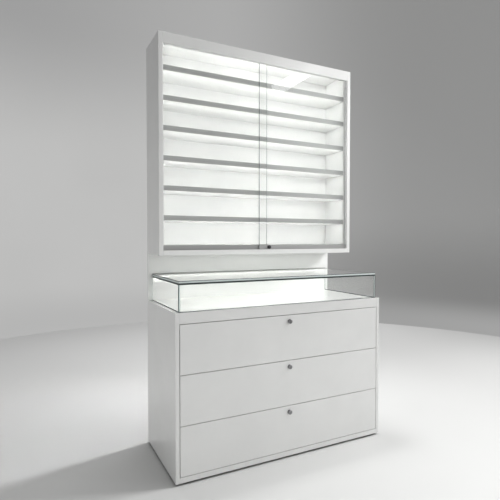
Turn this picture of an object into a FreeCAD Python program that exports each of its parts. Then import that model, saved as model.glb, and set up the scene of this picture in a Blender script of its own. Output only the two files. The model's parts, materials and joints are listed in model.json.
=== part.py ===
import FreeCAD, Part
import math
import os
from FreeCAD import Vector

# White lacquered optical display cabinet: drawer base, glass vitrine on its deck, lit upper cabinet.
# Millimetres, +Z up, front towards -Y, origin on the floor under the middle of the overall box.

# Overall sizes
WIDTH = 1200.0
BASE_DEPTH = 500.0
BASE_HEIGHT = 785.0
UPPER_DEPTH = 240.0
UPPER_HEIGHT = 1110.0
LID_ROOM = 108.0  # free height between the closed vitrine and the upper cabinet
FOOT_HEIGHT = 10.0
EDGE_RADIUS = 1.5  # softened edges of the lacquered boards

# Board thicknesses
BASE_BOARD = 19.0
BASE_FLOOR_BOARD = 25.0
BACK_BOARD = 18.0
UPPER_BOARD = 22.0
UPPER_FLOOR_BOARD = 26.0
FRONT_RAIL_BOARD = 12.0

# Fronts of the base and of the upper cabinet
FASCIA_HEIGHT = 51.0
FRONT_RAIL_HEIGHT = 57.0
DRAWER_GAP = 3.0

# Drawer boxes
DRAWERS = ("upper", "middle", "lower")
BOX_WALL = 12.0
BOX_BACK_ROOM = 23.0  # free depth behind a closed drawer box
BOX_RISE = 14.0  # lower edge of the box above the lower edge of its front
BOX_TOP_ROOM = 18.0  # free height between the box and the cross rail above it
BOTTOM_BOARD = 8.0
BOTTOM_GROOVE = 6.0
BOTTOM_RISE = 12.0

# Telescopic slides, three nested steel channels on each side of a drawer
SLIDE_SPACE = 13.0
SLIDE_HEIGHT = 45.0
SLIDE_STEEL = 1.5
SLIDE_PLAY = 0.35
SLIDE_LIP_GAP = 1.5  # between the outer lips and the web of the inner member

# Cross rails behind the gaps between drawer fronts
RAIL_BOARD = 16.0
RAIL_LAP = 12.0  # reach of a rail below the upper edge of the front before it
RAIL_TOP_ROOM = 6.0  # free height between a rail and the drawer box above it
RAIL_GAP = 2.0

# Drawer locks
LOCK_BARREL = 18.0
LOCK_FLANGE = 2.0
LOCK_WALL = 3.0
LOCK_PROUD = 12.0
LOCK_CHAMFER = 1.5
LOCK_DROP = 31.0  # lock axis below the upper edge of the drawer front
LOCK_FIT = 0.08  # running clearance of the core in its body
CORE_SINK = 0.6
KEY_SLOT_WIDTH = 2.0
KEY_SLOT_HEIGHT = 8.0
KEY_SLOT_DEPTH = 5.0
CAM_WIDTH = 12.0
CAM_STEEL = 3.0
CAM_BITE = 12.0  # overlap of the turned cam and its cross rail
CAM_GAP = 2.0
BORE_PLAY = 0.1  # clearance of a fixed insert in its bore

# Shelves of the upper cabinet
SHELF_COUNT = 6
SHELF_PLAY = 0.5
PROFILE_HEIGHT = 26.0
PROFILE_LIP = 3.0
PROFILE_RADIUS = 0.5
LIGHT_WIDTH = 10.0
LIGHT_HEIGHT = 6.0
LIGHT_RECESS = 5.5  # light bar above the lower edge of its profile
LIGHT_INSET = 12.0
VITRINE_LIGHT = 9.0  # width and height of the light bar in the vitrine
UNDER_LIGHT_INSET = 60.0  # light bar under the upper cabinet, behind its front
PIN_DIAMETER = 5.0
PIN_SUNK = 10.0
PIN_REACH = 10.0
PIN_INSET = 45.0
PIN_SLOT = 8.0  # height of a pin's slot in the underside of its shelf
PIN_ROOM = 0.5

# Sliding doors, their shoes and tracks
DOOR_GLASS = 6.0
DOOR_OVERLAP = 54.0
DOOR_END_PLAY = 1.0
DOOR_LIFT_ROOM = 10.0
GLASS_PLAY = 1.0
DOOR_ARRIS = 1.0
SHOE_WALL = 1.5
SHOE_RIM = 1.0
SHOE_GAP = 2.0  # between the shoes of the two doors
SHOE_LIFT = 1.0
SHOE_SEAT = 8.0
TONGUE_WIDTH = 4.0
TONGUE_PLAY = 0.5
RUN_GAP = 0.3
TRACK_WALL = 1.5
TRACK_EDGE = 1.0
TRACK_DEPTH = 6.0
TRACK_HIDE = 8.0  # top track above the lower edge of the front rail
CHANNEL_RECESS = 6.0
CHANNEL_LIP = 4.0
CHANNEL_LIFT = 1.0
SHELF_CLEARANCE = 1.0

# Push lock on the front door's shoe
DOOR_LOCK_WALL = 4.0
DOOR_LOCK_PROUD = 8.0
PLUNGER = 12.0
PLUNGER_PROUD = 9.0
PLUNGER_SHORT = 0.5
PLUNGER_CHAMFER = 1.0
BOLT_GAP = 1.5  # room between the bolt and the edge of the rear door
NOTCH_PLAY = 2.0

# Glass vitrine
VITRINE_HEIGHT = 142.0
VITRINE_FRONT_INSET = 10.0
VITRINE_SIDE_INSET = 20.0
PANE_GLASS = 8.0
PANE_ARRIS = 1.5
PANE_JOINT = 0.2  # glued joint between the front and side panes
PANE_SEAT = 2.0  # seal under each side pane
LID_GLASS = 12.0
LID_ARRIS = 2.5
SEAL_HEIGHT = 4.0
SEAL_INSET = 1.0

# Bead hinge of the lid
HINGE_RAIL_HEIGHT = 15.0
HINGE_WALL = 2.0
BEAD_DIAMETER = 5.0
BEAD_FIT = 0.1
SOCKET_WALL = 1.4
SOCKET_LIFT = 1.0  # socket above the underside of the lid's glass
HINGE_NECK = 1.6
NECK_ROOM = 1.5
LID_ANGLE = 24.0
MOUTH_ROOM = 5.0  # degrees of free play on each side of the neck
CLAMP_WALL = 1.5
CLAMP_GRIP = 12.0
CLAMP_END_PLAY = 2.0

# Power supply and cable outlet
DRIVER_LENGTH = 200.0
DRIVER_WIDTH = 55.0
DRIVER_HEIGHT = 20.0
DRIVER_SIDE_ROOM = 50.0
DRIVER_BACK_ROOM = 60.0
DRIVER_EDGE = 2.0
GROMMET_BORE = 25.0
GROMMET_WALL = 4.0
GROMMET_FLANGE = 4.0
GROMMET_FLANGE_DEPTH = 2.0
GROMMET_X = 250.0
GROMMET_DROP = 30.0  # axis of the outlet below the deck

# Feet and screws
FOOT_DIAMETER = 34.0
FOOT_STEM = 8.0
FOOT_STEM_LENGTH = 16.0
FOOT_INSET = 50.0
SCREW_SHANK = 4.0
SCREW_HEAD = 8.0
SCREW_HEAD_DEPTH = 3.0
SCREW_LENGTH = 45.0
SCREW_DRIVE = 3.0
SCREW_DRIVE_DEPTH = 2.0
SCREW_ROW = 4  # screws in each row
SCREW_END_INSET = 60.0
SCREW_CORNER_INSET = 200.0

# Main planes and heights
HALF = WIDTH / 2
BACK_Y = (BASE_DEPTH + LOCK_PROUD) / 2
FRONT_Y = BACK_Y - BASE_DEPTH
WALL_Y = BACK_Y - BACK_BOARD  # front face of the back panel
BASE_INNER = HALF - BASE_BOARD
FRONT_BACK_Y = FRONT_Y + BASE_BOARD  # rear face of the drawer fronts
BASE_FLOOR_Z = FOOT_HEIGHT + BASE_FLOOR_BOARD
FASCIA_Z = BASE_HEIGHT - FASCIA_HEIGHT
DECK_UNDER_Z = BASE_HEIGHT - BASE_BOARD
GROMMET_Z = DECK_UNDER_Z - GROMMET_DROP
FRONT_HEIGHT = (FASCIA_Z - BASE_FLOOR_Z - DRAWER_GAP) / len(DRAWERS) - DRAWER_GAP

UPPER_Y = BACK_Y - UPPER_DEPTH
UPPER_Z = BASE_HEIGHT + VITRINE_HEIGHT + LID_ROOM
TOP_Z = UPPER_Z + UPPER_HEIGHT
UPPER_INNER = HALF - UPPER_BOARD
UPPER_FLOOR_Z = UPPER_Z + UPPER_FLOOR_BOARD
CEILING_Z = TOP_Z - UPPER_BOARD
FRONT_RAIL_Z = TOP_Z - FRONT_RAIL_HEIGHT

# Drawer, slide and lock places
BOX_HALF = BASE_INNER - SLIDE_SPACE
BOX_INNER = BOX_HALF - BOX_WALL
BOX_BACK_Y = WALL_Y - BOX_BACK_ROOM
BOX_DROP = RAIL_LAP + BOX_TOP_ROOM
RAIL_RISE = DRAWER_GAP + BOX_RISE - RAIL_TOP_ROOM
SLIDE_STEP = SLIDE_STEEL + SLIDE_PLAY
SLIDE_LIP = SLIDE_SPACE - SLIDE_STEEL - SLIDE_LIP_GAP
MIDDLE_HEIGHT = SLIDE_HEIGHT - 2 * SLIDE_STEP
INNER_HEIGHT = MIDDLE_HEIGHT - 2 * SLIDE_STEP
LOCK_HEAD = LOCK_BARREL + 2 * LOCK_FLANGE
LOCK_CORE = LOCK_BARREL - 2 * LOCK_WALL
CAM_Y = FRONT_BACK_Y + RAIL_GAP + RAIL_BOARD + CAM_GAP
CAM_REACH = LOCK_DROP - RAIL_LAP + CAM_BITE

# Door planes and shelf places
GLASS_SLOT = DOOR_GLASS + 2 * GLASS_PLAY
TRACK_MARGIN = GLASS_SLOT / 2 + TRACK_WALL + TRACK_EDGE
SHOE_DEPTH = DOOR_GLASS + 2 * SHOE_WALL
TRACK_FRONT_Y = UPPER_Y + FRONT_RAIL_BOARD
FRONT_DOOR_Y = TRACK_FRONT_Y + TRACK_MARGIN
REAR_DOOR_Y = FRONT_DOOR_Y + SHOE_DEPTH + SHOE_GAP
TRACK_BACK_Y = REAR_DOOR_Y + TRACK_MARGIN
DOOR_PLANES = (FRONT_DOOR_Y, REAR_DOOR_Y)
DOOR_LOCK_BODY = PLUNGER + 2 * DOOR_LOCK_WALL
SHOE_HEIGHT = DOOR_LOCK_BODY + 2 * SHOE_RIM
SHOE_Z = UPPER_FLOOR_Z + SHOE_LIFT
SHOE_TOP_Z = SHOE_Z + SHOE_HEIGHT
DOOR_GLASS_Z = SHOE_Z + SHOE_SEAT
DOOR_TOP_Z = CEILING_Z - TRACK_WALL - DOOR_LIFT_ROOM
TOP_TRACK_Z = FRONT_RAIL_Z + TRACK_HIDE
DOOR_END = UPPER_INNER - TRACK_WALL - DOOR_END_PLAY
DOOR_MEETING = DOOR_OVERLAP / 2
PROFILE_DEPTH = LIGHT_WIDTH + 2 * PROFILE_LIP
SHELF_Y = TRACK_BACK_Y + SHELF_CLEARANCE
LIGHT_Y = SHELF_Y + PROFILE_LIP
UNDER_LIGHT_Y = UPPER_Y + UNDER_LIGHT_INSET
SHELF_PITCH = (CEILING_Z - UPPER_FLOOR_Z) / (SHELF_COUNT + 1)
DOOR_LOCK_X = DOOR_MEETING + BOLT_GAP + PLUNGER / 2
DOOR_LOCK_Z = SHOE_Z + SHOE_HEIGHT / 2
SHOE_FRONT_Y = FRONT_DOOR_Y - SHOE_DEPTH / 2
SHOE_BACK_Y = FRONT_DOOR_Y + SHOE_DEPTH / 2

# Vitrine places
VITRINE_HALF = HALF - VITRINE_SIDE_INSET
VITRINE_INNER = VITRINE_HALF - PANE_GLASS
VITRINE_Y = FRONT_Y + VITRINE_FRONT_INSET
SIDE_PANE_Y = VITRINE_Y + PANE_GLASS + PANE_JOINT
LID_Z = BASE_HEIGHT + VITRINE_HEIGHT - LID_GLASS
PANE_TOP_Z = LID_Z - SEAL_HEIGHT
SOCKET_RADIUS = BEAD_DIAMETER / 2 + BEAD_FIT + SOCKET_WALL
HINGE_Y = WALL_Y - HINGE_WALL - SOCKET_RADIUS
HINGE_Z = LID_Z + SOCKET_LIFT + SOCKET_RADIUS
CLAMP_BACK_Y = HINGE_Y - SOCKET_RADIUS - NECK_ROOM
LID_BACK_Y = CLAMP_BACK_Y - CLAMP_WALL


def block(x0, x1, y0, y1, z0, z1):
    """A box between two corners, whichever way round each pair is given."""
    low = Vector(min(x0, x1), min(y0, y1), min(z0, z1))
    return Part.makeBox(abs(x1 - x0), abs(y1 - y0), abs(z1 - z0), low)


def rod(diameter, x, z, y0, y1):
    """A round bar along Y."""
    return Part.makeCylinder(diameter / 2, y1 - y0, Vector(x, y0, z), Vector(0, 1, 0))


def board(x0, x1, y0, y1, z0, z1):
    """A lacquered board with softened edges."""
    shape = block(x0, x1, y0, y1, z0, z1)
    return shape.makeFillet(EDGE_RADIUS, shape.Edges)


def pane(x0, x1, y0, y1, z0, z1, arris):
    """A glass pane with ground edges."""
    shape = block(x0, x1, y0, y1, z0, z1)
    return shape.makeChamfer(arris, shape.Edges)


def solid(shape):
    """The single solid of a boolean result."""
    return shape.removeSplitter().Solids[0]


def group(shapes):
    """Separate solids that share one node."""
    return Part.makeCompound(shapes)


def spread(count, low, high):
    """Evenly spaced values from low to high."""
    return [low + (high - low) * i / (count - 1) for i in range(count)]


def slot_ribs(slot):
    """Front and back faces of the ribs on both sides of each door's slot."""
    ribs = []
    for centre in DOOR_PLANES:
        ribs.append((centre - slot / 2 - TRACK_WALL, centre - slot / 2))
        ribs.append((centre + slot / 2, centre + slot / 2 + TRACK_WALL))
    return ribs


def front_top(index):
    """Upper edge of a drawer front, counted from the top drawer."""
    return FASCIA_Z - DRAWER_GAP - index * (FRONT_HEIGHT + DRAWER_GAP)


def shelf_under(index):
    """Underside of a shelf and of its front profile; index 0 is the floor board on the bottom panel."""
    return UPPER_FLOOR_Z + index * SHELF_PITCH


# Screws through the back panel
def screw_places():
    """Screw axes as (x, z), where the panels meet the back panel."""
    side_heights = spread(SCREW_ROW, UPPER_Z + SCREW_END_INSET, TOP_Z - SCREW_END_INSET)
    columns = spread(SCREW_ROW, -HALF + SCREW_CORNER_INSET, HALF - SCREW_CORNER_INSET)
    side_x = HALF - UPPER_BOARD / 2
    places = [(sign * side_x, z) for sign in (-1, 1) for z in side_heights]
    panel_heights = (
        FOOT_HEIGHT + BASE_FLOOR_BOARD / 2,
        BASE_HEIGHT - BASE_BOARD / 2,
        UPPER_Z + UPPER_FLOOR_BOARD / 2,
        TOP_Z - UPPER_BOARD / 2,
    )
    places += [(x, z) for z in panel_heights for x in columns]
    return places


def screw(x, z, play):
    """A countersunk screw driven from behind, widened by play when it is the hole."""
    shank = rod(SCREW_SHANK + 2 * play, x, z, BACK_Y - SCREW_LENGTH - play, BACK_Y)
    head = Part.makeCone(
        SCREW_SHANK / 2 + play,
        SCREW_HEAD / 2 + play,
        SCREW_HEAD_DEPTH,
        Vector(x, BACK_Y - SCREW_HEAD_DEPTH, z),
        Vector(0, 1, 0),
    )
    return solid(shank.fuse(head))


def carcass_screws():
    half = SCREW_DRIVE / 2
    screws = []
    for x, z in screw_places():
        drive = block(x - half, x + half, BACK_Y - SCREW_DRIVE_DEPTH, BACK_Y, z - half, z + half)
        screws.append(solid(screw(x, z, 0).cut(drive)))
    return group(screws)


def screwed(shape):
    """A panel with the holes of the screws that reach it."""
    holes = []
    for x, z in screw_places():
        hole = screw(x, z, BORE_PLAY)
        if shape.BoundBox.intersect(hole.BoundBox):
            holes.append(hole)
    return solid(shape.cut(holes)) if holes else shape


# Base carcass
def base_side(sign):
    return board(sign * BASE_INNER, sign * HALF, FRONT_Y, BACK_Y, FOOT_HEIGHT, BASE_HEIGHT)


def foot_places():
    lines = (FRONT_Y + FOOT_INSET, WALL_Y - FOOT_INSET)
    columns = spread(3, -HALF + FOOT_INSET, HALF - FOOT_INSET)
    return [(x, y) for x in columns for y in lines]


def levelling_feet():
    feet = []
    for x, y in foot_places():
        pad = Part.makeCylinder(FOOT_DIAMETER / 2, FOOT_HEIGHT, Vector(x, y, 0))
        pad = pad.makeChamfer(EDGE_RADIUS, [e for e in pad.Edges if e.BoundBox.ZMax < EDGE_RADIUS])
        stem = Part.makeCylinder(FOOT_STEM / 2, FOOT_STEM_LENGTH, Vector(x, y, FOOT_HEIGHT))
        feet.append(solid(pad.fuse(stem)))
    return group(feet)


def base_bottom_panel():
    panel = board(-BASE_INNER, BASE_INNER, FRONT_Y, WALL_Y, FOOT_HEIGHT, BASE_FLOOR_Z)
    radius = FOOT_STEM / 2 + BORE_PLAY
    depth = FOOT_STEM_LENGTH + BORE_PLAY
    holes = [Part.makeCylinder(radius, depth, Vector(x, y, FOOT_HEIGHT)) for x, y in foot_places()]
    return screwed(solid(panel.cut(holes)))


def base_deck():
    return screwed(board(-BASE_INNER, BASE_INNER, FRONT_BACK_Y, WALL_Y, DECK_UNDER_Z, BASE_HEIGHT))


def base_fascia():
    return board(-BASE_INNER, BASE_INNER, FRONT_Y, FRONT_BACK_Y, FASCIA_Z, BASE_HEIGHT)


def cross_rails():
    y = FRONT_BACK_Y + RAIL_GAP
    rails = []
    for index in range(len(DRAWERS)):
        top = front_top(index)
        rails.append(block(-BASE_INNER, BASE_INNER, y, y + RAIL_BOARD, top - RAIL_LAP, top + RAIL_RISE))
    return group(rails)


def back_panel():
    """Spine board: between the base sides below, over the full width above the deck."""
    wide = block(-HALF, HALF, WALL_Y, BACK_Y, BASE_HEIGHT, TOP_Z)
    narrow = block(-BASE_INNER, BASE_INNER, WALL_Y, BACK_Y, FOOT_HEIGHT, BASE_HEIGHT)
    panel = solid(wide.fuse(narrow))
    rim = []
    for edge in panel.Edges:
        middle = edge.CenterOfMass
        upright = abs(abs(middle.x) - HALF) < EDGE_RADIUS and edge.BoundBox.ZLength > EDGE_RADIUS
        if upright or abs(middle.z - TOP_Z) < EDGE_RADIUS:
            rim.append(edge)
    panel = panel.makeFillet(EDGE_RADIUS, rim)
    sleeve = GROMMET_BORE + 2 * GROMMET_WALL + 2 * BORE_PLAY
    flange = sleeve + 2 * GROMMET_FLANGE
    outlet = rod(sleeve, GROMMET_X, GROMMET_Z, WALL_Y, BACK_Y)
    seat = rod(flange, GROMMET_X, GROMMET_Z, BACK_Y - GROMMET_FLANGE_DEPTH, BACK_Y)
    return screwed(solid(panel.cut([outlet, seat])))


def cable_grommet():
    sleeve = GROMMET_BORE + 2 * GROMMET_WALL
    tube = rod(sleeve, GROMMET_X, GROMMET_Z, WALL_Y, BACK_Y)
    flange_y = BACK_Y - GROMMET_FLANGE_DEPTH
    flange = rod(sleeve + 2 * GROMMET_FLANGE, GROMMET_X, GROMMET_Z, flange_y, BACK_Y)
    return solid(tube.fuse(flange).cut(rod(GROMMET_BORE, GROMMET_X, GROMMET_Z, WALL_Y, BACK_Y)))


def led_driver():
    x = BASE_INNER - DRIVER_SIDE_ROOM
    y = WALL_Y - DRIVER_BACK_ROOM
    under = DECK_UNDER_Z - DRIVER_HEIGHT
    case = block(x - DRIVER_LENGTH, x, y - DRIVER_WIDTH, y, under, DECK_UNDER_Z)
    return case.makeFillet(DRIVER_EDGE, [e for e in case.Edges if e.BoundBox.ZMin < under + DRIVER_EDGE])


# Telescopic slides
def slide_channel(sign, web, lip_end, height, index):
    """A steel channel on one side; web and lip_end are distances in from the base side."""
    middle = front_top(index) - FRONT_HEIGHT / 2
    inward = SLIDE_STEEL if lip_end > web else -SLIDE_STEEL
    x_web = sign * (BASE_INNER - web)
    x_floor = sign * (BASE_INNER - web - inward)
    x_lip = sign * (BASE_INNER - lip_end)
    low = middle - height / 2
    high = middle + height / 2
    outside = block(x_web, x_lip, FRONT_BACK_Y, BOX_BACK_Y, low, high)
    inside = block(x_floor, x_lip, FRONT_BACK_Y, BOX_BACK_Y, low + SLIDE_STEEL, high - SLIDE_STEEL)
    return solid(outside.cut(inside))


def slide_pair(web, lip_end, height, index):
    return [slide_channel(sign, web, lip_end, height, index) for sign in (-1, 1)]


def slide_outer_members():
    members = []
    for index in range(len(DRAWERS)):
        members += slide_pair(0, SLIDE_LIP, SLIDE_HEIGHT, index)
    return group(members)


def slide_middle(index):
    return group(slide_pair(SLIDE_STEP, SLIDE_LIP, MIDDLE_HEIGHT, index))


def slide_inner(index):
    return group(slide_pair(SLIDE_SPACE, 2 * SLIDE_STEP, INNER_HEIGHT, index))


# Drawers
def box_bottom_z(index):
    return front_top(index) - FRONT_HEIGHT + BOX_RISE


def box_top_z(index):
    return front_top(index) - BOX_DROP


def lock_z(index):
    return front_top(index) - LOCK_DROP


def drawer_front(index):
    half = BASE_INNER - DRAWER_GAP
    top = front_top(index)
    front = board(-half, half, FRONT_Y, FRONT_BACK_Y, top - FRONT_HEIGHT, top)
    return solid(front.cut(rod(LOCK_BARREL + 2 * BORE_PLAY, 0, lock_z(index), FRONT_Y, FRONT_BACK_Y)))


def drawer_bottom(index):
    half = BOX_INNER + BOTTOM_GROOVE
    low = box_bottom_z(index) + BOTTOM_RISE
    return block(-half, half, FRONT_BACK_Y, BOX_BACK_Y, low, low + BOTTOM_BOARD)


def drawer_sides(index):
    groove = drawer_bottom(index)
    low = box_bottom_z(index)
    high = box_top_z(index)
    sides = []
    for sign in (-1, 1):
        side = block(sign * BOX_INNER, sign * BOX_HALF, FRONT_BACK_Y, BOX_BACK_Y, low, high)
        sides.append(solid(side.cut(groove)))
    return group(sides)


def drawer_back(index):
    low = box_bottom_z(index) + BOTTOM_RISE + BOTTOM_BOARD
    return block(-BOX_INNER, BOX_INNER, BOX_BACK_Y - BOX_WALL, BOX_BACK_Y, low, box_top_z(index))


def drawer_lock_body(index):
    z = lock_z(index)
    head = rod(LOCK_HEAD, 0, z, FRONT_Y - LOCK_PROUD, FRONT_Y)
    front_rim = [e for e in head.Edges if abs(e.CenterOfMass.y - FRONT_Y + LOCK_PROUD) < LOCK_CHAMFER]
    head = head.makeChamfer(LOCK_CHAMFER, [e for e in front_rim if e.Length > LOCK_HEAD])
    barrel = rod(LOCK_BARREL, 0, z, FRONT_Y, CAM_Y - RUN_GAP)
    bore = rod(LOCK_CORE + 2 * LOCK_FIT, 0, z, FRONT_Y - LOCK_PROUD, CAM_Y)
    return solid(head.fuse(barrel).cut(bore))


def key_slot(x, z, y):
    """The keyhole in a lock's face at y."""
    half_width = KEY_SLOT_WIDTH / 2
    half_height = KEY_SLOT_HEIGHT / 2
    return block(x - half_width, x + half_width, y, y + KEY_SLOT_DEPTH, z - half_height, z + half_height)


def drawer_lock_core(index):
    """Core with its cam, which lies to the right while unlocked and turns up to lock."""
    z = lock_z(index)
    face_y = FRONT_Y - LOCK_PROUD + CORE_SINK
    core = rod(LOCK_CORE, 0, z, face_y, CAM_Y + CAM_STEEL)
    half = CAM_WIDTH / 2
    arm = block(0, CAM_REACH - half, CAM_Y, CAM_Y + CAM_STEEL, z - half, z + half)
    tip = rod(CAM_WIDTH, CAM_REACH - half, z, CAM_Y, CAM_Y + CAM_STEEL)
    return solid(core.fuse([arm, tip]).cut(key_slot(0, z, face_y)))


# Upper cabinet carcass
def pin_places():
    """Shelf pin axes as (y, z)."""
    lines = (SHELF_Y + PIN_INSET, WALL_Y - PIN_INSET)
    rise = PIN_SLOT - PIN_DIAMETER / 2
    heights = [shelf_under(index) + rise for index in range(1, SHELF_COUNT + 1)]
    return [(y, z) for z in heights for y in lines]


def pin(sign, y, z, play):
    """A shelf pin in one side panel, widened by play when it is the hole."""
    start = Vector(sign * (UPPER_INNER + PIN_SUNK + play), y, z)
    return Part.makeCylinder(PIN_DIAMETER / 2 + play, PIN_SUNK + PIN_REACH, start, Vector(-sign, 0, 0))


def shelf_pins():
    return group([pin(sign, y, z, 0) for sign in (-1, 1) for y, z in pin_places()])


def upper_side(sign):
    side = board(sign * UPPER_INNER, sign * HALF, UPPER_Y, WALL_Y, UPPER_Z, TOP_Z)
    side = solid(side.cut([pin(sign, y, z, BORE_PLAY) for y, z in pin_places()]))
    return screwed(side)


def upper_top_panel():
    return screwed(board(-UPPER_INNER, UPPER_INNER, TRACK_FRONT_Y, WALL_Y, CEILING_Z, TOP_Z))


def upper_front_rail():
    return board(-UPPER_INNER, UPPER_INNER, UPPER_Y, TRACK_FRONT_Y, FRONT_RAIL_Z, TOP_Z)


def upper_bottom_panel():
    panel = board(-UPPER_INNER, UPPER_INNER, UPPER_Y, WALL_Y, UPPER_Z, UPPER_FLOOR_Z)
    bed_z = UPPER_FLOOR_Z - TRACK_DEPTH
    bed = block(-UPPER_INNER, UPPER_INNER, TRACK_FRONT_Y, TRACK_BACK_Y, bed_z, UPPER_FLOOR_Z)
    groove = light_bar(UNDER_LIGHT_Y, UPPER_Z)
    return screwed(solid(panel.cut([bed, groove])))


# Shelves and lights
def pin_slots():
    """Slots in the undersides of the shelves, over the pins."""
    across = PIN_DIAMETER / 2 + PIN_ROOM
    slots = []
    for sign in (-1, 1):
        inner = sign * (UPPER_INNER - PIN_REACH - PIN_ROOM)
        for y, z in pin_places():
            top = z + PIN_DIAMETER / 2
            slots.append(block(inner, sign * UPPER_INNER, y - across, y + across, top - PIN_SLOT, top))
    return slots


def shelf_boards():
    half = UPPER_INNER - SHELF_PLAY
    y = SHELF_Y + PROFILE_DEPTH
    slots = pin_slots()
    boards = []
    for index in range(SHELF_COUNT + 1):
        low = shelf_under(index)
        shelf = block(-half, half, y, WALL_Y, low, low + PROFILE_HEIGHT)
        boards.append(solid(shelf.cut(slots)))
    return group(boards)


def shelf_front_profiles():
    """Aluminium fronts of the shelves; a rebate behind the front lip takes the light bar."""
    half = UPPER_INNER - SHELF_PLAY
    back_y = SHELF_Y + PROFILE_DEPTH
    profiles = []
    for index in range(SHELF_COUNT + 1):
        low = shelf_under(index)
        bar = block(-half, half, SHELF_Y, back_y, low, low + PROFILE_HEIGHT)
        front_edges = [e for e in bar.Edges if e.BoundBox.YMax < SHELF_Y + PROFILE_RADIUS]
        bar = bar.makeFillet(PROFILE_RADIUS, front_edges)
        if index > 0:
            light_top = low + LIGHT_RECESS + LIGHT_HEIGHT
            bar = solid(bar.cut(block(-half, half, LIGHT_Y, back_y, low, light_top)))
        profiles.append(bar)
    return group(profiles)


def light_bar(front, low):
    """A light bar of the upper cabinet, from its front face and its underside."""
    half = UPPER_INNER - LIGHT_INSET
    return block(-half, half, front, front + LIGHT_WIDTH, low, low + LIGHT_HEIGHT)


def light_bars():
    """Bars under the shelves, under the top and bottom panels and under the hinge rail of the vitrine."""
    bars = [light_bar(LIGHT_Y, shelf_under(index) + LIGHT_RECESS) for index in range(1, SHELF_COUNT + 1)]
    bars.append(light_bar(LIGHT_Y, CEILING_Z - LIGHT_HEIGHT))
    bars.append(light_bar(UNDER_LIGHT_Y, UPPER_Z))
    inner = VITRINE_INNER - LIGHT_INSET
    bars.append(block(-inner, inner, WALL_Y - VITRINE_LIGHT, WALL_Y, LID_Z - VITRINE_LIGHT, LID_Z))
    return group(bars)


# Door tracks and channels
def door_track_bottom():
    bed_z = UPPER_FLOOR_Z - TRACK_DEPTH
    track = block(-UPPER_INNER, UPPER_INNER, TRACK_FRONT_Y, TRACK_BACK_Y, bed_z, bed_z + TRACK_WALL)
    ribs = []
    for y0, y1 in slot_ribs(TONGUE_WIDTH + 2 * TONGUE_PLAY):
        ribs.append(block(-UPPER_INNER, UPPER_INNER, y0, y1, bed_z, UPPER_FLOOR_Z))
    return solid(track.fuse(ribs))


def door_track_top():
    plate_z = CEILING_Z - TRACK_WALL
    track = block(-UPPER_INNER, UPPER_INNER, TRACK_FRONT_Y, TRACK_BACK_Y, plate_z, CEILING_Z)
    ribs = []
    for y0, y1 in slot_ribs(GLASS_SLOT):
        ribs.append(block(-UPPER_INNER, UPPER_INNER, y0, y1, TOP_TRACK_Z, CEILING_Z))
    return solid(track.fuse(ribs))


def door_channels():
    low = SHOE_TOP_Z + CHANNEL_LIFT
    y0 = UPPER_Y + CHANNEL_RECESS
    channels = []
    for sign in (-1, 1):
        wall = sign * (UPPER_INNER - TRACK_WALL)
        lip = sign * (UPPER_INNER - TRACK_WALL - CHANNEL_LIP)
        plate = block(wall, sign * UPPER_INNER, y0, TRACK_BACK_Y, low, FRONT_RAIL_Z)
        ribs = []
        for rib_y0, rib_y1 in slot_ribs(GLASS_SLOT):
            ribs.append(block(lip, sign * UPPER_INNER, rib_y0, rib_y1, low, FRONT_RAIL_Z))
        channels.append(solid(plate.fuse(ribs)))
    return group(channels)


# Sliding doors, right in the front plane and left in the rear one
def door_span(side):
    return (-DOOR_MEETING, DOOR_END) if side == "right" else (-DOOR_END, DOOR_MEETING)


def door_plane(side):
    return FRONT_DOOR_Y if side == "right" else REAR_DOOR_Y


def door_glass(side):
    x0, x1 = door_span(side)
    y = door_plane(side)
    glass = pane(x0, x1, y - DOOR_GLASS / 2, y + DOOR_GLASS / 2, DOOR_GLASS_Z, DOOR_TOP_Z, DOOR_ARRIS)
    if side == "left":
        return glass
    half = DOOR_LOCK_BODY / 2 + NOTCH_PLAY
    notch_top = DOOR_LOCK_Z + DOOR_LOCK_BODY / 2 + BORE_PLAY
    notch = block(
        DOOR_LOCK_X - half, DOOR_LOCK_X + half, SHOE_FRONT_Y, SHOE_BACK_Y, DOOR_GLASS_Z, notch_top
    )
    return solid(glass.cut(notch))


def door_shoe(side):
    """Aluminium shoe: glass slot on top, guide tongue below, lock bore in the right one."""
    x0, x1 = door_span(side)
    y = door_plane(side)
    bar = block(x0, x1, y - SHOE_DEPTH / 2, y + SHOE_DEPTH / 2, SHOE_Z, SHOE_TOP_Z)
    tongue_z = UPPER_FLOOR_Z - TRACK_DEPTH + TRACK_WALL + RUN_GAP
    tongue = block(x0, x1, y - TONGUE_WIDTH / 2, y + TONGUE_WIDTH / 2, tongue_z, SHOE_Z)
    slot = block(x0, x1, y - DOOR_GLASS / 2, y + DOOR_GLASS / 2, DOOR_GLASS_Z, SHOE_TOP_Z)
    shoe = bar.fuse(tongue).cut(slot)
    if side == "right":
        bore = rod(DOOR_LOCK_BODY + 2 * BORE_PLAY, DOOR_LOCK_X, DOOR_LOCK_Z, SHOE_FRONT_Y, SHOE_BACK_Y)
        shoe = shoe.cut(bore)
    return solid(shoe)


def door_lock_body():
    front_y = SHOE_FRONT_Y - DOOR_LOCK_PROUD
    body = rod(DOOR_LOCK_BODY, DOOR_LOCK_X, DOOR_LOCK_Z, front_y, SHOE_BACK_Y)
    rim = [e for e in body.Edges if e.BoundBox.YMax < front_y + PLUNGER_CHAMFER]
    body = body.makeChamfer(PLUNGER_CHAMFER, rim)
    return solid(body.cut(rod(PLUNGER + 2 * LOCK_FIT, DOOR_LOCK_X, DOOR_LOCK_Z, front_y, SHOE_BACK_Y)))


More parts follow.
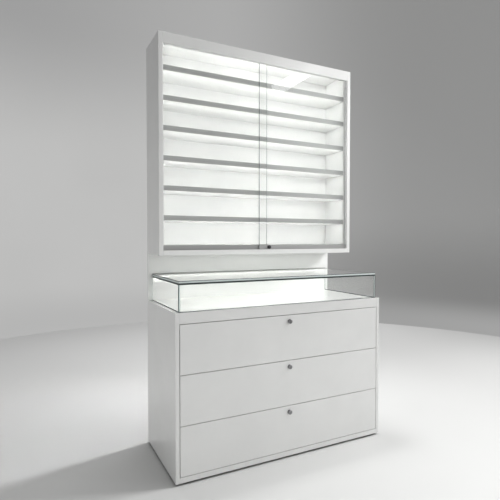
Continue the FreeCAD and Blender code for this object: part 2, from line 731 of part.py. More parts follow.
def door_lock_plunger():
    front_y = SHOE_FRONT_Y - DOOR_LOCK_PROUD - PLUNGER_PROUD
    bolt = rod(PLUNGER, DOOR_LOCK_X, DOOR_LOCK_Z, front_y, SHOE_BACK_Y - PLUNGER_SHORT)
    bolt = bolt.makeChamfer(PLUNGER_CHAMFER, [e for e in bolt.Edges if e.BoundBox.YLength < RUN_GAP])
    return solid(bolt.cut(key_slot(DOOR_LOCK_X, DOOR_LOCK_Z, front_y)))


# Vitrine
def vitrine_front_pane():
    y1 = VITRINE_Y + PANE_GLASS
    return pane(-VITRINE_HALF, VITRINE_HALF, VITRINE_Y, y1, BASE_HEIGHT, PANE_TOP_Z, PANE_ARRIS)


def vitrine_side_panes():
    low = BASE_HEIGHT + PANE_SEAT
    sides = []
    for sign in (-1, 1):
        inner = sign * VITRINE_INNER
        sides.append(pane(inner, sign * VITRINE_HALF, SIDE_PANE_Y, WALL_Y, low, PANE_TOP_Z, PANE_ARRIS))
    return group(sides)


def vitrine_seals():
    """A flat strip on the upper edges of the panes, under the lid, and a seat under each side pane."""
    outer = block(
        -VITRINE_HALF + SEAL_INSET,
        VITRINE_HALF - SEAL_INSET,
        VITRINE_Y + SEAL_INSET,
        LID_BACK_Y,
        PANE_TOP_Z,
        LID_Z,
    )
    inner_y = VITRINE_Y + PANE_GLASS - SEAL_INSET
    inner_x = VITRINE_INNER + SEAL_INSET
    strips = [solid(outer.cut(block(-inner_x, inner_x, inner_y, LID_BACK_Y, PANE_TOP_Z, LID_Z)))]
    outer_x = VITRINE_HALF - SEAL_INSET
    for sign in (-1, 1):
        seat_z = BASE_HEIGHT + PANE_SEAT
        strips.append(block(sign * inner_x, sign * outer_x, SIDE_PANE_Y, WALL_Y, BASE_HEIGHT, seat_z))
    return group(strips)


def vitrine_lid_pane():
    top = LID_Z + LID_GLASS
    return pane(-VITRINE_HALF, VITRINE_HALF, VITRINE_Y, LID_BACK_Y, LID_Z, top, LID_ARRIS)


def hinge_round(radius, half):
    """A round bar on the lid's hinge axis."""
    return Part.makeCylinder(radius, 2 * half, Vector(-half, HINGE_Y, HINGE_Z), Vector(1, 0, 0))


def vitrine_hinge_rail():
    """Rail on the back panel with an open round socket for the bead of the lid's clamp."""
    plate = block(-VITRINE_HALF, VITRINE_HALF, WALL_Y - HINGE_WALL, WALL_Y, LID_Z, LID_Z + HINGE_RAIL_HEIGHT)
    socket = hinge_round(SOCKET_RADIUS, VITRINE_HALF)
    bridge_z = SOCKET_RADIUS - SOCKET_WALL
    bridge = block(
        -VITRINE_HALF, VITRINE_HALF, HINGE_Y, WALL_Y - HINGE_WALL, HINGE_Z - bridge_z, HINGE_Z + bridge_z
    )
    bore_radius = BEAD_DIAMETER / 2 + BEAD_FIT
    neck_angle = math.degrees(math.asin(HINGE_NECK / 2 / bore_radius)) + MOUTH_ROOM
    mouth = []
    reach = 2 * SOCKET_RADIUS
    for angle in (-neck_angle, LID_ANGLE / 2, LID_ANGLE + neck_angle):
        turn = math.radians(angle)
        y = HINGE_Y - reach * math.cos(turn)
        mouth.append(Vector(-VITRINE_HALF, y, HINGE_Z + reach * math.sin(turn)))
    centre = Vector(-VITRINE_HALF, HINGE_Y, HINGE_Z)
    wedge = Part.Face(Part.makePolygon([centre] + mouth + [centre])).extrude(Vector(2 * VITRINE_HALF, 0, 0))
    return solid(plate.fuse([socket, bridge]).cut([hinge_round(bore_radius, VITRINE_HALF), wedge]))


def vitrine_lid_clamp():
    """Grips the rear edge of the lid's glass; its bead turns in the hinge rail."""
    half = VITRINE_INNER - CLAMP_END_PLAY
    grip_y = LID_BACK_Y - CLAMP_GRIP
    low = LID_Z - CLAMP_WALL
    high = LID_Z + LID_GLASS + CLAMP_WALL
    body = block(-half, half, grip_y, CLAMP_BACK_Y, low, high)
    glass = block(-half, half, grip_y, LID_BACK_Y, LID_Z, LID_Z + LID_GLASS)
    neck = block(-half, half, CLAMP_BACK_Y, HINGE_Y, HINGE_Z - HINGE_NECK / 2, HINGE_Z + HINGE_NECK / 2)
    return solid(body.cut(glass).fuse([neck, hinge_round(BEAD_DIAMETER / 2, half)]))


def build():
    """Every node's shape by name."""
    nodes = {
        "base_side_left": base_side(-1),
        "base_side_right": base_side(1),
        "base_bottom_panel": base_bottom_panel(),
        "base_deck": base_deck(),
        "base_fascia": base_fascia(),
        "cross_rails": cross_rails(),
        "levelling_feet": levelling_feet(),
        "back_panel": back_panel(),
        "cable_grommet": cable_grommet(),
        "led_driver": led_driver(),
        "carcass_screws": carcass_screws(),
        "slide_outer_members": slide_outer_members(),
        "upper_side_left": upper_side(-1),
        "upper_side_right": upper_side(1),
        "upper_top_panel": upper_top_panel(),
        "upper_bottom_panel": upper_bottom_panel(),
        "upper_front_rail": upper_front_rail(),
        "shelf_boards": shelf_boards(),
        "shelf_front_profiles": shelf_front_profiles(),
        "shelf_pins": shelf_pins(),
        "light_bars": light_bars(),
        "door_track_bottom": door_track_bottom(),
        "door_track_top": door_track_top(),
        "door_channels": door_channels(),
        "door_lock_body": door_lock_body(),
        "door_lock_plunger": door_lock_plunger(),
        "vitrine_front_pane": vitrine_front_pane(),
        "vitrine_side_panes": vitrine_side_panes(),
        "vitrine_seals": vitrine_seals(),
        "vitrine_hinge_rail": vitrine_hinge_rail(),
        "vitrine_lid_pane": vitrine_lid_pane(),
        "vitrine_lid_clamp": vitrine_lid_clamp(),
    }
    for side in ("left", "right"):
        nodes["door_" + side + "_glass"] = door_glass(side)
        nodes["door_" + side + "_shoe"] = door_shoe(side)
    for index, name in enumerate(DRAWERS):
        nodes[name + "_drawer_front"] = drawer_front(index)
        nodes[name + "_drawer_sides"] = drawer_sides(index)
        nodes[name + "_drawer_back"] = drawer_back(index)
        nodes[name + "_drawer_bottom"] = drawer_bottom(index)
        nodes[name + "_drawer_slide_inner"] = slide_inner(index)
        nodes[name + "_drawer_slide_middle"] = slide_middle(index)
        nodes[name + "_drawer_lock_body"] = drawer_lock_body(index)
        nodes[name + "_drawer_lock_core"] = drawer_lock_core(index)
    return nodes


os.makedirs("parts", exist_ok=True)
for node, shape in build().items():
    shape.exportStep("parts/" + node + ".step")
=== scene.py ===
import json
import math

import bpy
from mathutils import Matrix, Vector

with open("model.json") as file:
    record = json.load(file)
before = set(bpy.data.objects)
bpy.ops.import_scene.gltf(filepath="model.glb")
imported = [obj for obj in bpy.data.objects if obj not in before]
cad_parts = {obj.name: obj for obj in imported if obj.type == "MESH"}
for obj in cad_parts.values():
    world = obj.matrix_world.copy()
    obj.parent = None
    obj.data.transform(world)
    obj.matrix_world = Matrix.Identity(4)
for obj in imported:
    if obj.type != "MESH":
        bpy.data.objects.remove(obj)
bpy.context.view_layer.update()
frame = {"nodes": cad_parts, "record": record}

# White lacquered optical display cabinet. Metres, +Z up, front towards -Y.

# Camera at the photograph's angle
CAMERA_PLACE = (-1.1916, -2.1399, 1.1125)
CAMERA_YAW = 27.002  # degrees turned towards +X
CAMERA_PITCH = -1.294
FOCAL_PX = 440.66
IMAGE_PX = 500
SENSOR_WIDTH = 36.0

# Studio
FLOOR_RADIUS = 3.8
FLOOR_INNER_RADIUS = 0.001
SWEEP_RADIUS = 1.6
WALL_HEIGHT = 9.0
WALL_GLOW = 1.0
SWEEP_STEPS = 12
ROUND_STEPS = 96
WORLD_STRENGTH = 0.26

# Tones of the floor and the wall: a random cloud, with painted light and painted shade where the tone changes
# across the floor and up the wall
FLOOR_TONES = ((0.62, 0.622, 0.615), (0.605, 0.608, 0.60))
FLOOR_FAR_TONE = (0.69, 0.69, 0.685)
FLOOR_RIGHT_SHADE = (0.47, 0.47, 0.465)
FLOOR_FAR_RIGHT_TONE = (0.70, 0.70, 0.695)
WALL_TONES = ((0.46, 0.46, 0.455), (0.44, 0.44, 0.435))
CROWN_LEFT_SHADE = (0.285, 0.285, 0.285)
CROWN_RIGHT_SHADE = (0.36, 0.36, 0.358)
WALL_FOOT_SHADE = (0.395, 0.395, 0.392)
WALL_RIGHT_SHADE = (0.225, 0.225, 0.223)
CORNER_SHADE = (0.15, 0.15, 0.148)
CORNER_FOOT_SHADE = (0.31, 0.31, 0.308)

# Where these tones begin and where they are reached
FLOOR_FAR_Y = (0.9, 3.0)
FLOOR_RIGHT_X = (0.4, 2.2)
CROWN_X = (-1.6, 2.2)
CROWN_Z = (2.4, 4.6)
WALL_FOOT_Z = (0.5, 0.0)
WALL_RIGHT_X = (1.8, 4.6)
WALL_BEHIND_Y = (-1.0, 1.5)
CORNER_Z = (1.6, 0.3)
CORNER_FOOT_Z = (0.3, 0.0)

# Lamps by name: place, aim, width, height, power in watts, and the angle of the beam in degrees
KEY_PLACE = (3.4, -0.93, 3.25)
KEY_AIM = (0.0, 0.0, 1.0)
OVERHEAD_PLACE = (-0.15, 0.75, 4.2)
OVERHEAD_AIM = (0.0, -0.2, 0.0)
OPEN_BEAM = 180.0
STRIP_WIDTH = 1.10
STRIP_HEIGHT = 0.005
LAMPS = {
    "right_fill": ((-1.3, -2.4, 2.0), (0.8, 0.0, 1.7), 0.4, 0.4, 1.5, 34.0),
    "front_soft": ((1.2, -3.2, 1.4), (0.5, 0.0, 1.3), 1.4, 1.4, 14.0, OPEN_BEAM),
    "right_soft": ((2.4, -2.4, 2.5), (0.2, 0.0, 1.0), 0.5, 0.5, 15.0, OPEN_BEAM),
    "vitrine_light": ((0.0, -0.20, 0.86), (0.0, 0.80, 0.86), STRIP_WIDTH, STRIP_HEIGHT, 0.6, OPEN_BEAM),
    "key": (KEY_PLACE, KEY_AIM, 1.5, 1.0, 84.0, OPEN_BEAM),
    "floor_key": (KEY_PLACE, KEY_AIM, 1.5, 1.0, 114.0, OPEN_BEAM),
    "panel_key": ((2.2, -2.2, 2.9), KEY_AIM, 0.5, 0.5, 34.0, OPEN_BEAM),
    "rear_key": ((3.4, 1.09, 3.0), (-0.9, 0.6, 0.0), 0.6, 0.6, 3.2, 26.0),
    "overhead": (OVERHEAD_PLACE, OVERHEAD_AIM, 1.6, 1.0, 19.0, OPEN_BEAM),
    "floor_overhead": (OVERHEAD_PLACE, OVERHEAD_AIM, 1.6, 1.0, 34.0, OPEN_BEAM),
    "floor_front": ((0.48, 0.46, 4.2), (0.48, 0.2, 0.0), 0.2, 0.12, 30.0, OPEN_BEAM),
    "front_fill": ((2.75, -3.35, 2.45), (2.75, -2.35, 2.45), 1.6, 2.9, 2.5, OPEN_BEAM),
    "left_fill": ((-2.4, -0.5, 0.6), (-0.6, 0.0, 0.6), 1.2, 0.5, 0.8, 60.0),
    "streak": ((1.95, -2.6, 3.205), (1.95, -1.6, 3.205), 0.86, 0.14, 1.05, OPEN_BEAM),
}
STREAK_TURN = math.radians(33.4)  # slants its image in the right door

# Lamps without an image in glass and metal, and lamps for the floor alone
UNMIRRORED = ("right_fill", "front_soft", "right_soft", "vitrine_light", "panel_key")
FLOOR_ONLY = ("floor_key", "rear_key", "floor_overhead", "floor_front")

# Strip lamps behind the shelf profiles, from the lowest shelf to the top panel
STRIP_POWERS = (0.64, 0.62, 0.56, 0.50, 0.46, 0.60, 1.0)
STRIP_Y = 0.070
STRIP_FLOOR_Z = 1.031  # one step below the lowest strip
STRIP_SPAN = 1.062  # from there to the highest strip
STRIP_PITCH = STRIP_SPAN / len(STRIP_POWERS)

# Light bars: strength, and the lower height and level of each group of bars
LIGHT_BAR_STRENGTH = 60.0
LIGHT_TOP = 2.2  # a height above all bars
LIGHT_LEVELS = ((0.0, 1.0), (0.97, 0.18), (1.10, 0.05))
BAR_CASING = (0.006, 0.006, 0.006)

# Glass edges, light and dark, and the narrow faces beside them: the ground edges' own pale tint, with painted
# light where light comes through an edge and painted shade where it is reflected away
PALE_EDGE_PAINTED_LIGHT = ((0.80, 0.86, 0.845), (0.72, 0.80, 0.78))
TEAL_EDGE_PAINTED_SHADE = ((0.26, 0.36, 0.35), (0.18, 0.27, 0.26))
DARK_EDGE_PAINTED_SHADE = ((0.06, 0.085, 0.08), (0.04, 0.06, 0.06))
ARRIS_PAINTED_SHADE = (0.04, 0.06, 0.06)
# painted light: the side panes' edges glow, as if lit through the glass, though they are no lamp
SIDE_PANE_PAINTED_GLOW = 0.3
PANE_FACING = 0.9  # a normal closer to the direction across the pane is on its broad faces
EDGE_FACING = 0.35  # one further from it is on the edge itself
ALONG_X = (1.0, 0.0, 0.0)
ALONG_Y = (0.0, 1.0, 0.0)
ALONG_Z = (0.0, 0.0, 1.0)

# Faces that look down; the base's undersides are darkened there as painted shade for the gap under the
# cabinet
DOWNWARD = -0.5  # the highest their normals rise
UNDERSIDE_PAINTED_SHADE = (0.03, 0.03, 0.03)

# Range of a noise value that is used
NOISE_LOW = 0.3
NOISE_HIGH = 0.7

# Colour sockets of a mix node, by number
MIX_FIRST = 6
MIX_SECOND = 7
MIX_RESULT = 2


# Node helpers
def add(tree, kind, inputs=None, **settings):
    """A new node with its settings and inputs; an input is a value or another node's output."""
    node = tree.nodes.new(kind)
    for name, value in settings.items():
        setattr(node, name, value)
    for name, value in (inputs or {}).items():
        if isinstance(value, bpy.types.NodeSocket):
            tree.links.new(value, node.inputs[name])
        else:
            node.inputs[name].default_value = value
    return node


def surface(name, constants):
    """A material, its node tree and its main shader with the given constants."""
    made = bpy.data.materials.new(name)
    made.use_nodes = True
    shader = made.node_tree.nodes["Principled BSDF"]
    for socket, value in constants.items():
        shader.inputs[socket].default_value = value
    return made, made.node_tree, shader


def blotches(tree, size, detail=2.0, stretch=(1.0, 1.0, 1.0)):
    """Noise fixed to the piece; size is the width of a blotch, stretch lengthens it along an axis."""
    coordinates = add(tree, "ShaderNodeTexCoord")
    scale = [1.0 / factor for factor in stretch]
    mapping = add(tree, "ShaderNodeMapping", {"Vector": coordinates.outputs["Object"], "Scale": scale})
    noise = add(
        tree,
        "ShaderNodeTexNoise",
        {"Vector": mapping.outputs["Vector"], "Scale": 1.0 / size, "Detail": detail},
    )
    return noise.outputs["Fac"]


def spread(tree, factor, low, high):
    """A value between two, following a noise value."""
    inputs = {"Value": factor, "From Min": NOISE_LOW, "From Max": NOISE_HIGH, "To Min": low, "To Max": high}
    return add(tree, "ShaderNodeMapRange", inputs).outputs["Result"]


def place_along(tree, axis):
    """A coordinate of the surface, fixed to the piece."""
    coordinates = add(tree, "ShaderNodeTexCoord")
    return add(tree, "ShaderNodeSeparateXYZ", {"Vector": coordinates.outputs["Object"]}).outputs[axis]


def ramp(tree, value, low, high):
    """From 0 at low to 1 at high, smoothly."""
    inputs = {"Value": value, "From Min": low, "From Max": high}
    return add(tree, "ShaderNodeMapRange", inputs, interpolation_type="SMOOTHSTEP").outputs["Result"]


def blend(tree, share, first, second):
    """From the first colour to the second; each is a plain colour or another node's output."""
    mix = add(tree, "ShaderNodeMix", {"Factor": share}, data_type="RGBA")
    for socket, colour in ((MIX_FIRST, first), (MIX_SECOND, second)):
        if isinstance(colour, bpy.types.NodeSocket):
            tree.links.new(colour, mix.inputs[socket])
        else:
            mix.inputs[socket].default_value = (*colour, 1.0)
    return mix.outputs[MIX_RESULT]


def tint(tree, factor, first, second):
    """A colour between two, following a noise value."""
    return blend(tree, spread(tree, factor, 0.0, 1.0), first, second)


def reckon(tree, operation, first, second):
    """One step of arithmetic on two values or outputs."""
    return add(tree, "ShaderNodeMath", {0: first, 1: second}, operation=operation).outputs["Value"]


def rise(tree):
    """How far the surface looks up, from -1 to 1, fixed to the piece."""
    normal = add(tree, "ShaderNodeTexCoord").outputs["Normal"]
    return add(tree, "ShaderNodeSeparateXYZ", {"Vector": normal}).outputs["Z"]


def relief(tree, shader, height, depth, strength):
    """A bump of the given depth in metres."""
    bump = add(tree, "ShaderNodeBump", {"Height": height, "Distance": depth, "Strength": strength})
    tree.links.new(bump.outputs["Normal"], shader.inputs["Normal"])


# Materials, one for each slot of the record
def white_lacquer(name, underside_shade=None):
    """Lacquered board; a colour given for the underside is painted on the faces that look down as painted
    shade.
    """
    made, tree, shader = surface(name, {"IOR": 1.5, "Coat Weight": 0.8, "Coat Roughness": 0.1})
    colour = tint(tree, blotches(tree, size=0.16, detail=4.0), (0.865, 0.868, 0.855), (0.83, 0.833, 0.822))
    # painted shade: the faces that look down take the dark underside colour
    if underside_shade:
        colour = blend(tree, reckon(tree, "LESS_THAN", rise(tree), DOWNWARD), colour, underside_shade)
    tree.links.new(colour, shader.inputs["Base Color"])
    haze = blotches(tree, size=0.05, detail=3.0)
    tree.links.new(spread(tree, haze, 0.30, 0.40), shader.inputs["Roughness"])
    relief(tree, shader, blotches(tree, size=0.004, detail=2.0), depth=0.0002, strength=0.12)
    return made


def inner_board():
    """Matt board with a fine grain."""
    made, tree, shader = surface("inner_board", {"IOR": 1.45})
    colour = tint(tree, blotches(tree, size=0.02, detail=5.0), (0.80, 0.80, 0.785), (0.74, 0.74, 0.725))
    tree.links.new(colour, shader.inputs["Base Color"])
    haze = blotches(tree, size=0.01, detail=3.0)
    tree.links.new(spread(tree, haze, 0.5, 0.62), shader.inputs["Roughness"])
    relief(tree, shader, blotches(tree, size=0.0015, detail=2.0), depth=0.0002, strength=0.25)
    return made


def clear_glass(name, axis, edge_light, edge_dark, painted_edge_glow=0.0):
    """Float glass with ground edges whose colour is painted light and painted shade over their own pale tint,
    and arrises darkened as painted shade; axis is the direction across the pane.
    """
    made, tree, shader = surface(name, {"IOR": 1.52, "Transmission Weight": 1.0})
    colour = tint(tree, blotches(tree, size=0.3, detail=2.0), (0.998, 1.0, 0.999), (0.99, 0.998, 0.994))
    tree.links.new(colour, shader.inputs["Base Color"])
    haze = blotches(tree, size=0.08, detail=4.0)
    tree.links.new(spread(tree, haze, 0.0, 0.012), shader.inputs["Roughness"])
    path = add(tree, "ShaderNodeLightPath")
    clear = add(tree, "ShaderNodeBsdfTransparent", {"Color": (0.95, 0.965, 0.955, 1.0)})
    passing = add(tree, "ShaderNodeMixShader", {"Fac": path.outputs["Is Shadow Ray"]})
    tree.links.new(shader.outputs["BSDF"], passing.inputs[1])
    tree.links.new(clear.outputs["BSDF"], passing.inputs[2])
    ground_look = {"Roughness": 0.5, "IOR": 1.25, "Emission Strength": painted_edge_glow}
    ground = add(tree, "ShaderNodeBsdfPrincipled", ground_look)
    # the edge's colour: painted light or painted shade, with a fine grain
    grain = tint(tree, blotches(tree, size=0.003, detail=3.0), edge_light, edge_dark)
    normal = add(tree, "ShaderNodeTexCoord").outputs["Normal"]
    across = add(tree, "ShaderNodeVectorMath", {0: normal, 1: axis}, operation="DOT_PRODUCT").outputs["Value"]
    facing = add(tree, "ShaderNodeMath", {0: across}, operation="ABSOLUTE").outputs["Value"]
    edge = reckon(tree, "LESS_THAN", facing, PANE_FACING)
    arris = reckon(tree, "GREATER_THAN", facing, EDGE_FACING)
    # painted shade: the arrises take a dark colour that stands in for the dark surroundings they reflect
    edge_colour = blend(tree, arris, grain, ARRIS_PAINTED_SHADE)
    tree.links.new(edge_colour, ground.inputs["Base Color"])
    # painted light: the edge glows in its own colour at the painted glow's strength
    tree.links.new(edge_colour, ground.inputs["Emission Color"])
    whole = add(tree, "ShaderNodeMixShader", {"Fac": edge})
    tree.links.new(passing.outputs["Shader"], whole.inputs[1])
    tree.links.new(ground.outputs["BSDF"], whole.inputs[2])
    tree.links.new(whole.outputs["Shader"], tree.nodes["Material Output"].inputs["Surface"])
    return made


def satin_aluminium(name, metallic, light, dark):
    """Aluminium brushed along X."""
    made, tree, shader = surface(name, {"Metallic": metallic})
    brushing = blotches(tree, size=0.0008, detail=3.0, stretch=(300.0, 1.0, 1.0))
    tree.links.new(tint(tree, brushing, light, dark), shader.inputs["Base Color"])
    tree.links.new(spread(tree, brushing, 0.36, 0.48), shader.inputs["Roughness"])
    relief(tree, shader, brushing, depth=0.0001, strength=0.1)
    return made


def slide_steel():
    """Zinc-coated steel with a spangle."""
    made, tree, shader = surface("slide_steel", {"Metallic": 1.0})
    spangle = blotches(tree, size=0.012, detail=4.0)
    tree.links.new(tint(tree, spangle, (0.58, 0.59, 0.61), (0.48, 0.49, 0.50)), shader.inputs["Base Color"])
    tree.links.new(spread(tree, spangle, 0.25, 0.42), shader.inputs["Roughness"])
    return made


def fastener_steel():
    """Bright steel, a little worn."""
    made, tree, shader = surface("fastener_steel", {"Metallic": 1.0})
    wear = blotches(tree, size=0.003, detail=3.0)
    tree.links.new(tint(tree, wear, (0.60, 0.60, 0.62), (0.46, 0.46, 0.47)), shader.inputs["Base Color"])
    tree.links.new(spread(tree, wear, 0.2, 0.4), shader.inputs["Roughness"])
    return made


def lock_metal(name, light, dark):
    """Plated metal with a fine grain."""
    made, tree, shader = surface(name, {"Metallic": 1.0})
    grain = blotches(tree, size=0.0006, detail=3.0)
    tree.links.new(tint(tree, grain, light, dark), shader.inputs["Base Color"])
    tree.links.new(spread(tree, grain, 0.25, 0.38), shader.inputs["Roughness"])
    relief(tree, shader, grain, depth=0.0001, strength=0.15)
    return made


def moulded_plastic(name, light, dark, grain_size):
    """Plastic with a moulded grain."""
    made, tree, shader = surface(name, {"IOR": 1.46})
    grain = blotches(tree, size=grain_size, detail=3.0)
    tree.links.new(tint(tree, grain, light, dark), shader.inputs["Base Color"])
    tree.links.new(spread(tree, grain, 0.45, 0.6), shader.inputs["Roughness"])
    relief(tree, shader, grain, depth=0.0002, strength=0.3)
    return made


def light_diffuser():
    """Light bars with opal covers underneath and a slight falloff between the light points."""
    constants = {"Emission Strength": LIGHT_BAR_STRENGTH, "Roughness": 0.5}
    made, tree, shader = surface("light_diffuser", constants)
    points = blotches(tree, size=0.02, detail=1.0)
    glow = tint(tree, points, (0.985, 1.0, 0.945), (0.94, 0.955, 0.90))
    height = reckon(tree, "DIVIDE", place_along(tree, "Z"), LIGHT_TOP)
    levels = add(tree, "ShaderNodeValToRGB", {"Fac": height})
    levels.color_ramp.interpolation = "CONSTANT"
    while len(levels.color_ramp.elements) < len(LIGHT_LEVELS):
        levels.color_ramp.elements.new(1.0)
    for element, (low, level) in zip(levels.color_ramp.elements, LIGHT_LEVELS):
        element.position = low / LIGHT_TOP
        element.color = (level, level, level, 1.0)
    dimmed = add(tree, "ShaderNodeMix", {"Factor": 1.0}, data_type="RGBA", blend_type="MULTIPLY")
    tree.links.new(glow, dimmed.inputs[MIX_FIRST])
    tree.links.new(levels.outputs["Color"], dimmed.inputs[MIX_SECOND])
    casing = reckon(tree, "GREATER_THAN", rise(tree), DOWNWARD)
    light = blend(tree, casing, dimmed.outputs[MIX_RESULT], BAR_CASING)
    tree.links.new(light, shader.inputs["Emission Color"])
    tree.links.new(tint(tree, points, (0.90, 0.92, 0.90), (0.86, 0.88, 0.86)), shader.inputs["Base Color"])
    return made


def clear_seal():
    """Clear seal painted near black, painted shade for the dark line of its narrow joint."""
    made, tree, shader = surface("clear_seal", {"IOR": 1.41})
    cloud = blotches(tree, size=0.01, detail=3.0)
    # painted shade: the seal's colour is the dark of its joint
    colour = tint(tree, cloud, (0.045, 0.055, 0.052), (0.03, 0.036, 0.036))
    tree.links.new(colour, shader.inputs["Base Color"])
    tree.links.new(spread(tree, cloud, 0.3, 0.45), shader.inputs["Roughness"])
    return made


MATERIALS = {
    "white_lacquer": white_lacquer("white_lacquer"),
    "inner_board": inner_board(),
    "satin_aluminium": satin_aluminium("satin_aluminium", 0.25, (0.47, 0.472, 0.466), (0.42, 0.422, 0.417)),
    "slide_steel": slide_steel(),
    "fastener_steel": fastener_steel(),
    "lock_metal": lock_metal("lock_metal", (0.32, 0.32, 0.325), (0.24, 0.24, 0.245)),
    "black_plastic": moulded_plastic("black_plastic", (0.035, 0.035, 0.038), (0.02, 0.02, 0.022), 0.0012),
    "driver_case": moulded_plastic("driver_case", (0.74, 0.74, 0.72), (0.68, 0.68, 0.66), 0.0015),
    "light_diffuser": light_diffuser(),
    "clear_seal": clear_seal(),
}

# Nodes with a finish of their own; a pane's is given with the direction across it and its edge's look
DOOR_LOCK = lock_metal("door_lock_metal", (0.13, 0.13, 0.135), (0.09, 0.09, 0.095))
# painted shade: the base's sides and bottom are darkened on their undersides
BASE_LACQUER = white_lacquer("base_lacquer", UNDERSIDE_PAINTED_SHADE)
OWN_FINISH = {
    "base_side_left": BASE_LACQUER,
    "base_side_right": BASE_LACQUER,
    "base_bottom_panel": BASE_LACQUER,
    "door_lock_body": DOOR_LOCK,
    "door_lock_plunger": DOOR_LOCK,
    # painted light: the door channels get a far lighter copy of the aluminium, to lighten them where the
    # stile shades them
    "door_channels": satin_aluminium("channel_aluminium_painted_light", 0.2, (0.84, 0.84, 0.835), (0.78, 0.78, 0.775)),
    "door_left_glass": clear_glass("left_door_glass", ALONG_Y, *PALE_EDGE_PAINTED_LIGHT),
    "door_right_glass": clear_glass("right_door_glass", ALONG_Y, *DARK_EDGE_PAINTED_SHADE),
    "vitrine_front_pane": clear_glass("front_pane_glass", ALONG_Y, *TEAL_EDGE_PAINTED_SHADE),
    "vitrine_side_panes": clear_glass("side_pane_glass", ALONG_X, *PALE_EDGE_PAINTED_LIGHT, SIDE_PANE_PAINTED_GLOW),
    "vitrine_lid_pane": clear_glass("lid_glass", ALONG_Z, *PALE_EDGE_PAINTED_LIGHT),
}

for part in frame["record"]["subparts"]:
    finish = OWN_FINISH.get(part["node"]) or MATERIALS[part["material_slot"]]
    for slot in frame["nodes"][part["node"]].material_slots:
        slot.material = finish


# Stage: a round floor whose rim sweeps up into a wall
def floor_paint():
    """Pale floor with painted shade to the right of the cabinet and painted light towards the wall."""
    made, tree, shader = surface("floor_paint", {"Roughness": 0.6, "IOR": 1.3})
    cloud = tint(tree, blotches(tree, size=0.8, detail=2.0), *FLOOR_TONES)
    # painted light: paler towards the wall
    far = ramp(tree, place_along(tree, "Y"), *FLOOR_FAR_Y)
    left = blend(tree, far, cloud, FLOOR_FAR_TONE)
    right = blend(tree, far, FLOOR_RIGHT_SHADE, FLOOR_FAR_RIGHT_TONE)
    # painted shade: greyer to the right of the cabinet
    share = ramp(tree, place_along(tree, "X"), *FLOOR_RIGHT_X)
    tree.links.new(blend(tree, share, left, right), shader.inputs["Base Color"])
    return made


def backdrop_paint():
    """Pale wall with a glow of its own and painted shade, greyer at the back right, towards its top and at
    its foot.
    """
    constants = {"Base Color": (0.12, 0.12, 0.12, 1.0), "Roughness": 0.8, "Emission Strength": WALL_GLOW}
    made, tree, shader = surface("backdrop_paint", constants)
    height = place_along(tree, "Z")
    along = place_along(tree, "X")
    cloud = tint(tree, blotches(tree, size=1.6, detail=2.0), *WALL_TONES)
    # painted shade: the wall darkens towards its top, at its foot and at the back right
    crown = blend(tree, ramp(tree, along, *CROWN_X), CROWN_LEFT_SHADE, CROWN_RIGHT_SHADE)
    tone = blend(tree, ramp(tree, height, *CROWN_Z), cloud, crown)
    tone = blend(tree, ramp(tree, height, *WALL_FOOT_Z), tone, WALL_FOOT_SHADE)
    behind = ramp(tree, place_along(tree, "Y"), *WALL_BEHIND_Y)
    right = reckon(tree, "MULTIPLY", ramp(tree, along, *WALL_RIGHT_X), behind)
    tone = blend(tree, right, tone, WALL_RIGHT_SHADE)
    corner = reckon(tree, "MULTIPLY", right, ramp(tree, height, *CORNER_Z))
    tone = blend(tree, corner, tone, CORNER_SHADE)
    foot = reckon(tree, "MULTIPLY", right, ramp(tree, height, *CORNER_FOOT_Z))
    tone = blend(tree, foot, tone, CORNER_FOOT_SHADE)
    tree.links.new(tone, shader.inputs["Emission Color"])
    return made


def ring_mesh(name, profile):
    """A surface of revolution about Z through (radius, height) points."""
    points = []
    faces = []
    for radius, height in profile:
        for step in range(ROUND_STEPS):
            turn = 2 * math.pi * step / ROUND_STEPS
            points.append((radius * math.cos(turn), radius * math.sin(turn), height))
    for row in range(len(profile) - 1):
        for step in range(ROUND_STEPS):
            after = (step + 1) % ROUND_STEPS
            low = row * ROUND_STEPS
            high = low + ROUND_STEPS
            faces.append((low + step, high + step, high + after, low + after))
    mesh = bpy.data.meshes.new(name)
    mesh.from_pydata(points, [], faces)
    for polygon in mesh.polygons:
        polygon.use_smooth = True
    made = bpy.data.objects.new(name, mesh)
    bpy.context.scene.collection.objects.link(made)
    return made


def make_stage():
    """The floor and the wall around it; gives back the floor, which has lamps of its own."""
    floor = ring_mesh("floor", [(FLOOR_INNER_RADIUS, 0.0), (FLOOR_RADIUS, 0.0)])
    floor.data.materials.append(floor_paint())
    sweep = [(FLOOR_RADIUS, 0.0)]
    for step in range(1, SWEEP_STEPS + 1):
        turn = math.pi / 2 * step / SWEEP_STEPS
        reach = FLOOR_RADIUS + SWEEP_RADIUS * math.sin(turn)
        sweep.append((reach, SWEEP_RADIUS * (1 - math.cos(turn))))
    sweep.append((FLOOR_RADIUS + SWEEP_RADIUS, WALL_HEIGHT))
    wall = ring_mesh("backdrop", sweep)
    wall.data.materials.append(backdrop_paint())
    wall.visible_diffuse = False
    wall.visible_shadow = False
    return floor


floor = make_stage()


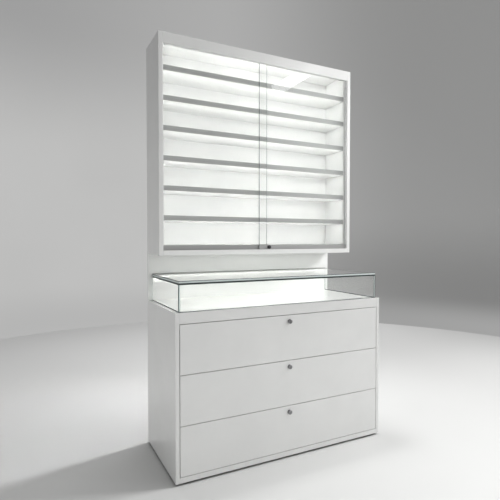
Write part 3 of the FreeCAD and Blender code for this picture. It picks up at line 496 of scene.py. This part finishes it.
# Lamps
def softbox(name, place, aim, width, height, power, beam):
    """A lamp that lights one way and isn't seen by the camera."""
    lamp = bpy.data.lights.new(name, "AREA")
    lamp.shape = "RECTANGLE"
    lamp.size = width
    lamp.size_y = height
    lamp.energy = power
    lamp.spread = math.radians(beam)
    made = bpy.data.objects.new(name, lamp)
    made.location = place
    made.rotation_euler = (Vector(aim) - Vector(place)).to_track_quat("-Z", "Y").to_euler()
    made.visible_camera = False
    bpy.context.scene.collection.objects.link(made)
    return made


def hide_mirrored(lamp):
    """Keeps a lamp's own image out of the glass and the metal."""
    lamp.visible_glossy = False
    lamp.visible_transmission = False


def light_only(lamp, target):
    """Keeps a lamp's light to one object, on which the others still cast their shadows."""
    lit = bpy.data.collections.new(lamp.name + "_lit")
    lit.objects.link(target)
    lamp.light_linking.receiver_collection = lit


lamps = {name: softbox(name, *values) for name, values in LAMPS.items()}
lamps["streak"].rotation_euler.rotate_axis("Z", STREAK_TURN)
for name in UNMIRRORED:
    hide_mirrored(lamps[name])
for name in FLOOR_ONLY:
    light_only(lamps[name], floor)
light_only(lamps["panel_key"], frame["nodes"]["back_panel"])

for index, power in enumerate(STRIP_POWERS, start=1):
    strip_z = STRIP_FLOOR_Z + index * STRIP_PITCH
    place = (0.0, STRIP_Y, strip_z)
    aim = (0.0, STRIP_Y + 1.0, strip_z)
    hide_mirrored(softbox("shelf_light", place, aim, STRIP_WIDTH, STRIP_HEIGHT, power, OPEN_BEAM))

world = bpy.data.worlds.new("studio_air")
world.use_nodes = True
world.node_tree.nodes["Background"].inputs["Color"].default_value = (1.0, 1.0, 1.0, 1.0)
world.node_tree.nodes["Background"].inputs["Strength"].default_value = WORLD_STRENGTH
bpy.context.scene.world = world


# Camera
def make_camera():
    """The camera, set by its focal length in pixels of the photograph."""
    lens = bpy.data.cameras.new("camera")
    lens.sensor_width = SENSOR_WIDTH
    lens.lens = FOCAL_PX * SENSOR_WIDTH / IMAGE_PX
    made = bpy.data.objects.new("camera", lens)
    made.location = CAMERA_PLACE
    made.rotation_euler = (math.radians(90.0 + CAMERA_PITCH), 0.0, math.radians(-CAMERA_YAW))
    bpy.context.scene.collection.objects.link(made)
    bpy.context.scene.camera = made


make_camera()
bpy.context.scene.view_settings.view_transform = "Standard"
